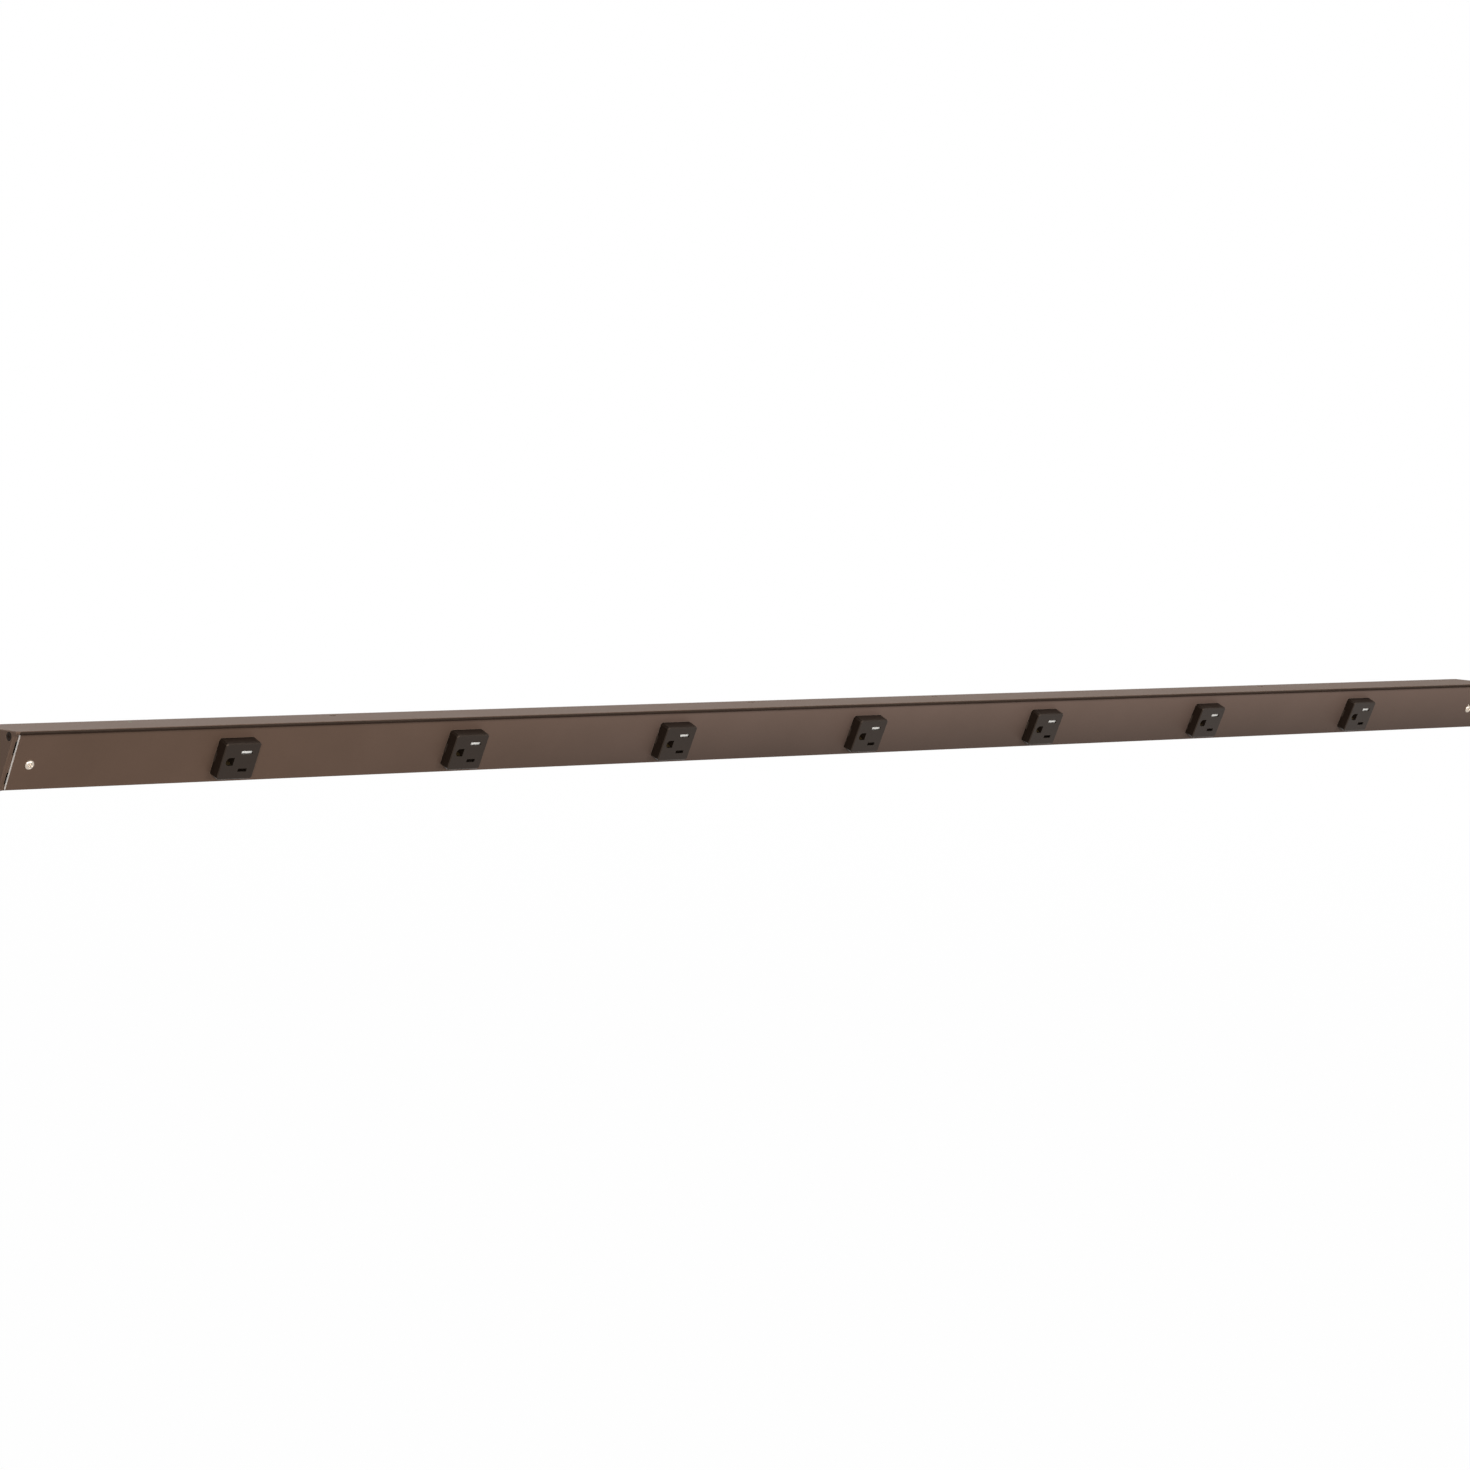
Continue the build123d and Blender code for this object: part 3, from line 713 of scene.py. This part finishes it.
def screwGrid(shape, origin, axis, beside):
    # a turned profile (radius, height) carried round the axis, a crossed recess pressed into its
    # head, and a thread: the shank's radius rises and falls with height and turn together.
    # The recess's arms lie along beside, which is square to the axis, and across it
    side = np.cross(axis, beside)
    other = np.cross(axis, side)
    topRadius, topHeight, underRadius, underHeight = headProfile(shape)
    tip = np.linspace(screwMesh["tipStart"], 1.0, screwMesh["tipRows"])
    shankHeight = np.linspace(underHeight[-1], -shape["length"], screwMesh["shankRows"])
    shankRadius = np.full_like(shankHeight, shape["shankRadius"])
    tipRadius = shape["shankRadius"] * (1.0 - tip)
    tipHeight = -shape["length"] - screwMesh["tipHeight"] * tip
    radii = np.concatenate([topRadius, underRadius, shankRadius, tipRadius])
    heights = np.concatenate([topHeight, underHeight, shankHeight, tipHeight])
    angles = np.linspace(0.0, 2 * pi, screwMesh["columns"], endpoint=False)
    radius, angle = np.meshgrid(radii, angles, indexing="ij")
    height = np.repeat(heights[:, None], len(angles), axis=1)
    row = np.arange(len(radii))[:, None]
    onTop = row < len(topRadius)
    onShank = row >= len(topRadius) + len(underRadius)

    u, v = radius * np.cos(angle), radius * np.sin(angle)
    inReach = softStep(radius, shape["recessReach"], shape["softness"])
    armU = softStep(np.abs(v), shape["recessWidth"], shape["softness"])
    armV = softStep(np.abs(u), shape["recessWidth"], shape["softness"])
    taper = np.clip(1.0 + shape["recessFull"] - radius / shape["recessReach"], 0.0, 1.0)
    sunk = shape["recessFloor"] + (1.0 - shape["recessFloor"]) * taper
    pressed = shape["recessDepth"] * inReach * np.maximum(armU, armV) * sunk
    height = height - np.where(onTop, pressed, 0.0)

    wave = np.abs(((height / shape["threadPitch"] - angle / (2 * pi)) % 1.0) * 2.0 - 1.0)
    fade = np.clip((underHeight[-1] - height) / shape["threadPitch"], 0.0, 1.0)
    groove = shape["threadDepth"] * wave * fade * radius / shape["shankRadius"]
    radius = np.where(onShank, radius - groove, radius)
    u, v = radius * np.cos(angle), radius * np.sin(angle)
    return np.array(origin) + u[..., None] * side + v[..., None] * other + height[..., None] * axis


def addCoverScrews():
    # each head's underside lies on the cover, at the middle of the CAD screw across the slope
    points = nodePoints("cover_screws")
    grids = []
    for sideSign in (-1.0, 1.0):
        mine = points[np.sign(points[:, 0]) == sideSign]
        rises = mine @ upSlope
        level = (mine @ outward).max() - coverScrew["headHeight"]
        middle = (mine[:, 0].min() + mine[:, 0].max()) / 2
        origin = along * middle + upSlope * (rises.max() + rises.min()) / 2 + outward * level
        grids.append(screwGrid(coverScrew, origin, outward, along))
    piece = gridPiece("cover_screw_set", grids, brightScrew)
    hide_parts("cover_screws")


def addCapScrews():
    # four flat-topped heads, two at each end, each flush with its cap's face
    points = nodePoints("end_cap_screws")
    grids = []
    for sideSign in (-1.0, 1.0):
        end = points[np.sign(points[:, 0]) == sideSign]
        middleZ = (end[:, 2].min() + end[:, 2].max()) / 2
        for upper in (True, False):
            mine = end[(end[:, 2] > middleZ) == upper]
            centre = (mine.min(axis=0) + mine.max(axis=0)) / 2
            origin = np.array([np.abs(mine[:, 0]).max() * sideSign, centre[1], centre[2]])
            grids.append(screwGrid(capScrew, origin, along * sideSign, upright))
    piece = gridPiece("end_cap_screw_set", grids, darkScrew)
    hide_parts("end_cap_screws")


addCoverScrews()
addCapScrews()
print("screws dressed")


# Flat bars: bright cut edges, and the ribs inside the sockets, which also stand as painted shade in the
# ground holes

barMesh = {
    "rows": 60,
    "columns": 24,
    "squareSides": 0.3,  # power of the section's waves: 1 is an oval, 0 a rectangle
    "squareEnds": 120,   # power of the run at which the section draws in: higher is nearer the end
    "endFall": 0.25,     # power of that drawing in: lower is blunter
}
cutEdge = {
    "plate": 0.0015,    # the cover's wall
    "onPlate": 0.9,     # share of the wall, from its front, whose points tell how far the plate goes
    "proud": 0.00004,
    "inset": 0.00008,
}
pocketShadeRib = {
    "beside": 0.001,        # from the ground contact's side to the rib's middle
    "belowFront": 0.00106,  # from the face's front down to the rib's top
    "height": 0.0054,
    "length": 0.0072,
    "thickness": 0.0006,
    "draft": 0.15,          # share by which its foot is thicker than its middle, and its top thinner
}


def barGrid(start, finish, across, width, facing, thickness, draft=0.0):
    # a flat bar from start to finish: its section is a squared-off oval that draws in to a point close
    # to each end, with its rows closest together there, and a thickness that falls along it
    run = np.sin(np.linspace(-pi / 2, pi / 2, barMesh["rows"]))
    closing = (1.0 - np.abs(run) ** barMesh["squareEnds"]) ** barMesh["endFall"]
    angle = np.linspace(0.0, 2 * pi, barMesh["columns"], endpoint=False)
    waves = np.array([np.cos(angle), np.sin(angle)])
    wide, thick = np.sign(waves) * np.abs(waves) ** barMesh["squareSides"]
    spine = (start + finish) / 2 + run[:, None] * (finish - start) / 2
    flat = wide[None, :, None] * across * width / 2
    deep = (thick[None, :] * (1.0 - draft * run[:, None]))[..., None] * facing * thickness / 2
    return spine[:, None, :] + closing[:, None, None] * (flat + deep)


def addCoverEdges():
    # raw metal shows where the painted cover was sawn to length
    points = nodePoints("cover")
    rises, levels = points @ upSlope, points @ outward
    front = levels.max()
    low = rises[levels > front - cutEdge["plate"] * cutEdge["onPlate"]].min()
    high = rises.max()
    width = cutEdge["plate"] - 2 * cutEdge["inset"]
    grids = []
    for sideSign in (-1.0, 1.0):
        end = np.abs(points[:, 0]).max() * sideSign
        base = along * end + outward * (front - cutEdge["plate"] / 2)
        start = base + upSlope * (low + cutEdge["inset"])
        finish = base + upSlope * (high - cutEdge["inset"])
        grids.append(barGrid(start, finish, outward, width, along * sideSign, 2 * cutEdge["proud"]))
    gridPiece("cover_cut_edges", grids, cutAluminium)


def addPocketShadeRibs():
    # in each socket a rib stands on the deck between the ground contact and the shutter's rail: a black
    # moulding that also serves as painted shade, hiding the white shutter from view through the ground
    # hole
    grids = []
    for name in sorted(frame["nodes"]):
        if not name.endswith("_ground_contact"):
            continue
        contact = nodePoints(name)
        front = (nodePoints(name.replace("_ground_contact", "_face")) @ outward).max()
        rises = contact @ upSlope
        beside = contact[:, 0].max() + pocketShadeRib["beside"]
        middle = along * beside + upSlope * (rises.max() + rises.min()) / 2
        top = middle + outward * (front - pocketShadeRib["belowFront"])
        foot = top - outward * pocketShadeRib["height"]
        grids.append(barGrid(
            foot, top, upSlope, pocketShadeRib["length"], along, pocketShadeRib["thickness"], pocketShadeRib["draft"]
        ))
    gridPiece("ground_pocket_shade_ribs", grids, blackMoulding)


addCoverEdges()
addPocketShadeRibs()
print("cut edges and ribs added")


# Springs, as joined copies of the CAD leaves

def joinedCopy(mesh, reach=1e-7):
    # a copy of a mesh whose loose triangles share their corners
    joined = bmesh.new()
    joined.from_mesh(mesh)
    bmesh.ops.remove_doubles(joined, verts=joined.verts, dist=reach)
    copied = mesh.copy()
    joined.to_mesh(copied)
    joined.free()
    return copied


def addSprings():
    # each leaf keeps its form: a joined copy in spring steel, hung on the strip
    for name in sorted(frame["nodes"]):
        if not name.endswith("_shutter_spring"):
            continue
        number = name.split("_")[1]
        rises = nodePoints(name) @ upSlope
        mesh = joinedCopy(frame["nodes"][name].data)
        mesh.materials.clear()
        mesh.materials.append(springSteel)
        piece = bpy.data.objects.new(f"spring_leaf_{number}", mesh)
        bpy.context.scene.collection.objects.link(piece)
        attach(piece, "strip")
        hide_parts(name)
        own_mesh(piece)


addSprings()


# Stage

stageSetup = {
    "floorDrop": 0.35,
    "floorSize": 40.0,
    "floorColour": (0.25, 0.25, 0.25, 1.0),
    "floorRoughness": 0.9,
    "shade": 0.01,             # how much of the floor's own light and shadow shows near the strip
    "shadeReach": (1.2, 3.5),  # where that share starts to fade and where it ends, in metres
    "worldColour": (1.0, 1.0, 1.0, 1.0),
    "worldLight": 0.18,
    "plainLight": 1.0,         # strength of what the camera sees behind the strip: 1 is white
}


def whiteToCamera(tree, ordinary, plain, output, share=None):
    # camera, glossy and transmission rays meet plain white; the rest is lit as an ordinary surface.
    # share is how much of the ordinary surface still shows to them
    rays = tree.nodes.new("ShaderNodeLightPath").outputs
    seen = rays["Is Camera Ray"]
    for kind in ("Is Glossy Ray", "Is Transmission Ray"):
        seen = mathNode(tree, "MAXIMUM", seen, rays[kind])
    if share is not None:
        seen = mathNode(tree, "SUBTRACT", seen, share)
        seen.node.use_clamp = True
    mix = tree.nodes.new("ShaderNodeMixShader")
    tree.links.new(seen, mix.inputs["Fac"])
    tree.links.new(ordinary, mix.inputs[1])
    tree.links.new(plain, mix.inputs[2])
    tree.links.new(mix.outputs[0], output)


def addFloor():
    # a wide square under the strip
    half = stageSetup["floorSize"] / 2
    level = cadLow.z - stageSetup["floorDrop"]
    mesh = bpy.data.meshes.new("floor")
    corners = [(-half, -half, level), (half, -half, level), (half, half, level), (-half, half, level)]
    mesh.from_pydata(corners, [], [(0, 1, 2, 3)])
    floor = bpy.data.objects.new("floor", mesh)
    bpy.context.scene.collection.objects.link(floor)
    material = bpy.data.materials.new("paleFloor")
    material.use_nodes = True
    tree = material.node_tree
    shader = tree.nodes["Principled BSDF"]
    shader.inputs["Base Color"].default_value = stageSetup["floorColour"]
    shader.inputs["Roughness"].default_value = stageSetup["floorRoughness"]
    shader.inputs["Specular IOR Level"].default_value = 0.0
    plain = tree.nodes.new("ShaderNodeEmission")
    plain.inputs["Strength"].default_value = stageSetup["plainLight"]
    distance = tree.nodes.new("ShaderNodeVectorMath")
    distance.operation = "LENGTH"
    tree.links.new(objectPlace(tree), distance.inputs[0])
    share = mapRange(tree, distance.outputs["Value"], stageSetup["shadeReach"], (stageSetup["shade"], 0.0))
    output = tree.nodes["Material Output"].inputs["Surface"]
    whiteToCamera(tree, shader.outputs[0], plain.outputs[0], output, share)
    mesh.materials.append(material)


def addWorld():
    # an even light from all round, and white behind the strip
    world = bpy.data.worlds.new("studio")
    bpy.context.scene.world = world
    world.use_nodes = True
    tree = world.node_tree
    light = tree.nodes["Background"]
    plain = tree.nodes.new("ShaderNodeBackground")
    for background, label in ((light, "worldLight"), (plain, "plainLight")):
        background.inputs["Color"].default_value = stageSetup["worldColour"]
        background.inputs["Strength"].default_value = stageSetup[label]
    whiteToCamera(tree, light.outputs[0], plain.outputs[0], tree.nodes["World Output"].inputs["Surface"])


softboxes = {
    "overhead": {"place": (0.0, -0.4, 2.6), "aim": (0.0, 0.0, 0.0), "size": (3.2, 1.6), "power": 38.0},
    "left": {"place": (-7.2, -9.4, 1.0), "aim": (0.0, 0.0, 0.0), "size": (4.0, 2.0), "power": 1040.0},
    "front": {"place": (0.4, -3.6, 0.25), "aim": (0.05, 0.0, 0.0), "size": (2.4, 0.9), "power": 47.0},
    "behind": {"place": (0.0, 4.5, 1.2), "aim": (0.0, 0.0, 0.0), "size": (3.2, 1.2), "power": 80.0},
}


def addSoftboxes():
    for name, box in softboxes.items():
        data = bpy.data.lights.new(name, "AREA")
        data.shape = "RECTANGLE"
        data.size, data.size_y = box["size"]
        data.energy = box["power"]
        lamp = bpy.data.objects.new(name, data)
        bpy.context.scene.collection.objects.link(lamp)
        lamp.location = box["place"]
        aim = Vector(box["aim"]) - Vector(box["place"])
        lamp.rotation_mode = "QUATERNION"
        lamp.rotation_quaternion = aim.to_track_quat("-Z", "Y")


addFloor()
addWorld()
addSoftboxes()
bpy.context.scene.view_settings.view_transform = "Standard"
print("stage lit")
